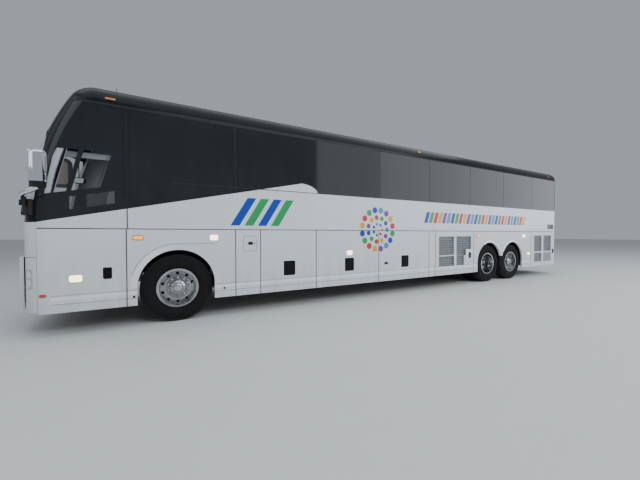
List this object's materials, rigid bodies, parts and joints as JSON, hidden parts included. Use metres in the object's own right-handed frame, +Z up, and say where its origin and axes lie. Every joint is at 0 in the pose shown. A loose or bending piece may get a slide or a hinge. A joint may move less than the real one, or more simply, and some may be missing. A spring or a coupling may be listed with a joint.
{
  "type": "coach bus",
  "caption": "Three-axle highway coach with flush tinted glass, luggage doors, louvred equipment doors, steered front wheels, twin drive wheels and a single-tyred tag axle.",
  "frame": {"origin": "on the ground, under the middle of the coach's length and width", "axes": "+X rearward, +Y to the kerb side with the passenger door, +Z up"},
  "size_m": [13.757, 3.3, 3.475],
  "materials": {
    "white_paint": "gloss",
    "tinted_glass": "gloss",
    "frame_steel": "matte",
    "engine_grey": "matte",
    "axle_black": "satin",
    "tyre_rubber": "matte",
    "polished_aluminium": "polished",
    "chrome": "polished",
    "seat_fabric": "matte",
    "clear_lens": "gloss",
    "red_lens": "gloss",
    "black_plastic": "satin"
  },
  "bodies": {
    "coach_body": {"underframe": "frame_steel", "engine": "engine_grey", "axles": "axle_black", "side_wall_left": "white_paint", "side_wall_right": "white_paint", "side_glass": "tinted_glass", "roof": "white_paint", "front_body": "white_paint", "windscreen": "tinted_glass", "rear_body": "white_paint", "seats": "seat_fabric", "mirrors": "chrome", "headlamps": "clear_lens", "tail_lamps": "red_lens"},
    "luggage_door_left_1": {"luggage_door_left_1": "white_paint"},
    "luggage_door_left_2": {"luggage_door_left_2": "white_paint"},
    "luggage_door_left_3": {"luggage_door_left_3": "white_paint"},
    "middle_grille_door_left": {"middle_grille_door_left": "white_paint"},
    "rear_grille_door_left": {"rear_grille_door_left": "white_paint"},
    "luggage_door_right_1": {"luggage_door_right_1": "white_paint"},
    "luggage_door_right_2": {"luggage_door_right_2": "white_paint"},
    "luggage_door_right_3": {"luggage_door_right_3": "white_paint"},
    "middle_grille_door_right": {"middle_grille_door_right": "white_paint"},
    "rear_grille_door_right": {"rear_grille_door_right": "white_paint"},
    "front_service_door": {"front_service_door": "white_paint"},
    "entry_door": {"entry_door": "white_paint"},
    "engine_door": {"engine_door": "white_paint"},
    "fuel_flap": {"fuel_flap": "white_paint"},
    "roof_hatch_front": {"roof_hatch_front": "white_paint"},
    "roof_hatch_rear": {"roof_hatch_rear": "white_paint"},
    "knuckle_left": {"knuckle_left": "axle_black"},
    "front_wheel_left": {"front_tyre_left": "tyre_rubber", "front_wheel_left": "polished_aluminium"},
    "drive_wheels_left": {"drive_tyres_left": "tyre_rubber", "drive_wheels_left": "polished_aluminium"},
    "tag_wheel_left": {"tag_tyre_left": "tyre_rubber", "tag_wheel_left": "polished_aluminium"},
    "knuckle_right": {"knuckle_right": "axle_black"},
    "front_wheel_right": {"front_tyre_right": "tyre_rubber", "front_wheel_right": "polished_aluminium"},
    "drive_wheels_right": {"drive_tyres_right": "tyre_rubber", "drive_wheels_right": "polished_aluminium"},
    "tag_wheel_right": {"tag_tyre_right": "tyre_rubber", "tag_wheel_right": "polished_aluminium"},
    "steering_wheel": {"steering_wheel": "black_plastic"}
  },
  "joints": [
    {"name": "luggage_door_left_1_hinge", "type": "hinge", "parent": "coach_body", "child": "luggage_door_left_1", "pos_m": [-3.024, -1.295, 1.4308], "axis": [-1, 0, 0], "range_deg": [0, 85]},
    {"name": "luggage_door_left_2_hinge", "type": "hinge", "parent": "coach_body", "child": "luggage_door_left_2", "pos_m": [-1.6975, -1.295, 1.4308], "axis": [-1, 0, 0], "range_deg": [0, 85]},
    {"name": "luggage_door_left_3_hinge", "type": "hinge", "parent": "coach_body", "child": "luggage_door_left_3", "pos_m": [-0.1395, -1.295, 1.4308], "axis": [-1, 0, 0], "range_deg": [0, 85]},
    {"name": "middle_grille_door_left_hinge", "type": "hinge", "parent": "coach_body", "child": "middle_grille_door_left", "pos_m": [1.626, -1.295, 1.4308], "axis": [-1, 0, 0], "range_deg": [0, 85]},
    {"name": "rear_grille_door_left_hinge", "type": "hinge", "parent": "coach_body", "child": "rear_grille_door_left", "pos_m": [6.06, -1.295, 1.4308], "axis": [-1, 0, 0], "range_deg": [0, 85]},
    {"name": "luggage_door_right_1_hinge", "type": "hinge", "parent": "coach_body", "child": "luggage_door_right_1", "pos_m": [-3.024, 1.295, 1.4308], "axis": [1, 0, 0], "range_deg": [0, 85]},
    {"name": "luggage_door_right_2_hinge", "type": "hinge", "parent": "coach_body", "child": "luggage_door_right_2", "pos_m": [-1.6975, 1.295, 1.4308], "axis": [1, 0, 0], "range_deg": [0, 85]},
    {"name": "luggage_door_right_3_hinge", "type": "hinge", "parent": "coach_body", "child": "luggage_door_right_3", "pos_m": [-0.1395, 1.295, 1.4308], "axis": [1, 0, 0], "range_deg": [0, 85]},
    {"name": "middle_grille_door_right_hinge", "type": "hinge", "parent": "coach_body", "child": "middle_grille_door_right", "pos_m": [1.626, 1.295, 1.4308], "axis": [1, 0, 0], "range_deg": [0, 85]},
    {"name": "rear_grille_door_right_hinge", "type": "hinge", "parent": "coach_body", "child": "rear_grille_door_right", "pos_m": [6.06, 1.295, 1.4308], "axis": [1, 0, 0], "range_deg": [0, 85]},
    {"name": "front_service_door_hinge", "type": "hinge", "parent": "coach_body", "child": "front_service_door", "pos_m": [-6.5323, -1.2653, 0.875], "axis": [0, 0, -1], "range_deg": [0, 85]},
    {"name": "entry_door_hinge", "type": "hinge", "parent": "coach_body", "child": "entry_door", "pos_m": [-6.3209, 1.295, 1.62], "axis": [0, 0, 1], "range_deg": [0, 85]},
    {"name": "engine_door_hinge", "type": "hinge", "parent": "coach_body", "child": "engine_door", "pos_m": [6.8785, 0, 1.52], "axis": [0, -1, 0], "range_deg": [0, 80]},
    {"name": "fuel_flap_hinge", "type": "hinge", "parent": "coach_body", "child": "fuel_flap", "pos_m": [-3.876, -1.295, 1.194], "axis": [0, 0, -1], "range_deg": [0, 100]},
    {"name": "roof_hatch_front_hinge", "type": "hinge", "parent": "coach_body", "child": "roof_hatch_front", "pos_m": [-3.3085, 0, 3.4455], "axis": [0, -1, 0], "range_deg": [0, 35]},
    {"name": "roof_hatch_rear_hinge", "type": "hinge", "parent": "coach_body", "child": "roof_hatch_rear", "pos_m": [3.6915, 0, 3.4455], "axis": [0, -1, 0], "range_deg": [0, 35]},
    {"name": "steer_left", "type": "hinge", "parent": "coach_body", "child": "knuckle_left", "pos_m": [-4.8885, -0.93, 0.45], "axis": [0, 0, 1], "range_deg": [-48, 48]},
    {"name": "front_wheel_left_spin", "type": "hinge", "parent": "knuckle_left", "child": "front_wheel_left", "pos_m": [-4.8885, -1.1, 0.52], "axis": [0, 1, 0], "continuous": true},
    {"name": "drive_wheels_left_spin", "type": "hinge", "parent": "coach_body", "child": "drive_wheels_left", "pos_m": [3.1025, -1.1, 0.52], "axis": [0, 1, 0], "continuous": true},
    {"name": "tag_wheel_left_spin", "type": "hinge", "parent": "coach_body", "child": "tag_wheel_left", "pos_m": [4.2525, -1.1, 0.52], "axis": [0, 1, 0], "continuous": true},
    {"name": "steer_right", "type": "hinge", "parent": "coach_body", "child": "knuckle_right", "pos_m": [-4.8885, 0.93, 0.45], "axis": [0, 0, 1], "range_deg": [-48, 48]},
    {"name": "front_wheel_right_spin", "type": "hinge", "parent": "knuckle_right", "child": "front_wheel_right", "pos_m": [-4.8885, 1.1, 0.52], "axis": [0, 1, 0], "continuous": true},
    {"name": "drive_wheels_right_spin", "type": "hinge", "parent": "coach_body", "child": "drive_wheels_right", "pos_m": [3.1025, 1.1, 0.52], "axis": [0, 1, 0], "continuous": true},
    {"name": "tag_wheel_right_spin", "type": "hinge", "parent": "coach_body", "child": "tag_wheel_right", "pos_m": [4.2525, 1.1, 0.52], "axis": [0, 1, 0], "continuous": true},
    {"name": "steering_wheel_turn", "type": "hinge", "parent": "coach_body", "child": "steering_wheel", "pos_m": [-6.2785, -0.7, 1.68], "axis": [0.4695, 0, 0.8829], "range_deg": [-864, 864]}
  ],
  "couplings": [
    {"joint": "steer_right", "follows": "steer_left", "ratio": 1},
    {"joint": "steering_wheel_turn", "follows": "steer_left", "ratio": 18}
  ]
}
